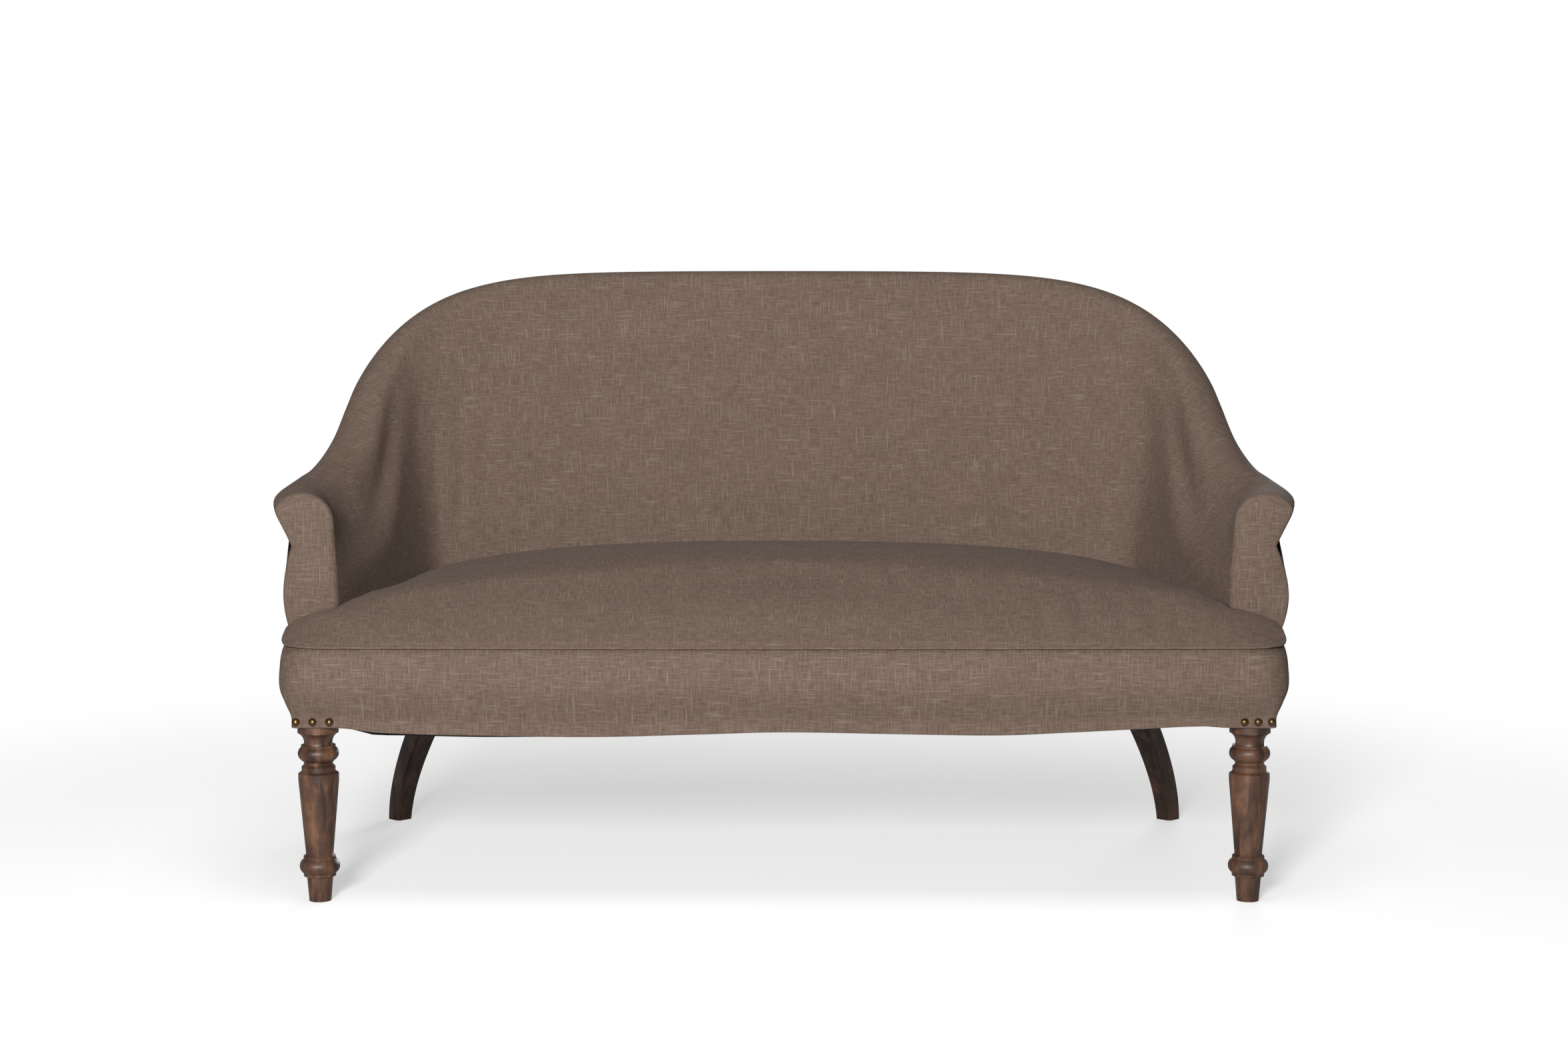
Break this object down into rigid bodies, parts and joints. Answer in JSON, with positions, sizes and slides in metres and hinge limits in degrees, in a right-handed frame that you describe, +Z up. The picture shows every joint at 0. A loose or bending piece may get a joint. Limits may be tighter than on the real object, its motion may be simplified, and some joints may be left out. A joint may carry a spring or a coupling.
{
  "type": "upholstered tub sofa",
  "caption": "Upholstered loveseat with one curved tub back sweeping down into low rolled arms, a tight sprung seat and turned front legs.",
  "frame": {"origin": "on the floor, under the middle of the sofa's overall length and depth", "axes": "+X to the right as seen from the front, +Y to the back, +Z up"},
  "size_m": [1.44, 0.7699, 0.8819],
  "materials": {
    "linen": "slubby plain weave, matte",
    "stuffing": "foam with wadding",
    "legs": "stained, satin, rubbed edges",
    "frame": "planed hardwood",
    "webbing": "woven elastic",
    "hessian": "open jute weave",
    "cambric": "black, matte",
    "nails": "antique, dark",
    "bolts": "zinc plated"
  },
  "bodies": {
    "root": {"front_leg_left": "legs", "front_leg_right": "legs", "back_leg_left": "legs", "back_leg_right": "legs", "front_rail": "frame", "side_rail_left": "frame", "side_rail_right": "frame", "back_rail": "frame", "middle_brace": "frame", "front_corner_block_left": "frame", "front_corner_block_right": "frame", "back_corner_block_left": "frame", "back_corner_block_right": "frame", "arm_post_left": "frame", "arm_post_right": "frame", "arm_rail_left": "frame", "arm_rail_right": "frame", "crest_rail": "frame", "back_post_left": "frame", "back_post_right": "frame", "back_slat_left": "frame", "back_slat_right": "frame", "arm_tuck_rail_left": "frame", "arm_tuck_rail_right": "frame", "back_tuck_rail": "frame", "webbing_across": "webbing", "webbing_lengthways": "webbing", "back_webbing": "webbing", "hessian": "hessian", "seat_foam": "stuffing", "inside_back_and_arms": "linen", "arm_facing_left": "linen", "arm_facing_right": "linen", "outside_arm_left": "linen", "outside_arm_right": "linen", "outside_back": "linen", "seat_cover": "linen", "front_border": "linen", "dust_cover": "cambric", "border_nails": "nails", "leg_bolts": "bolts"}
  },
  "joints": []
}
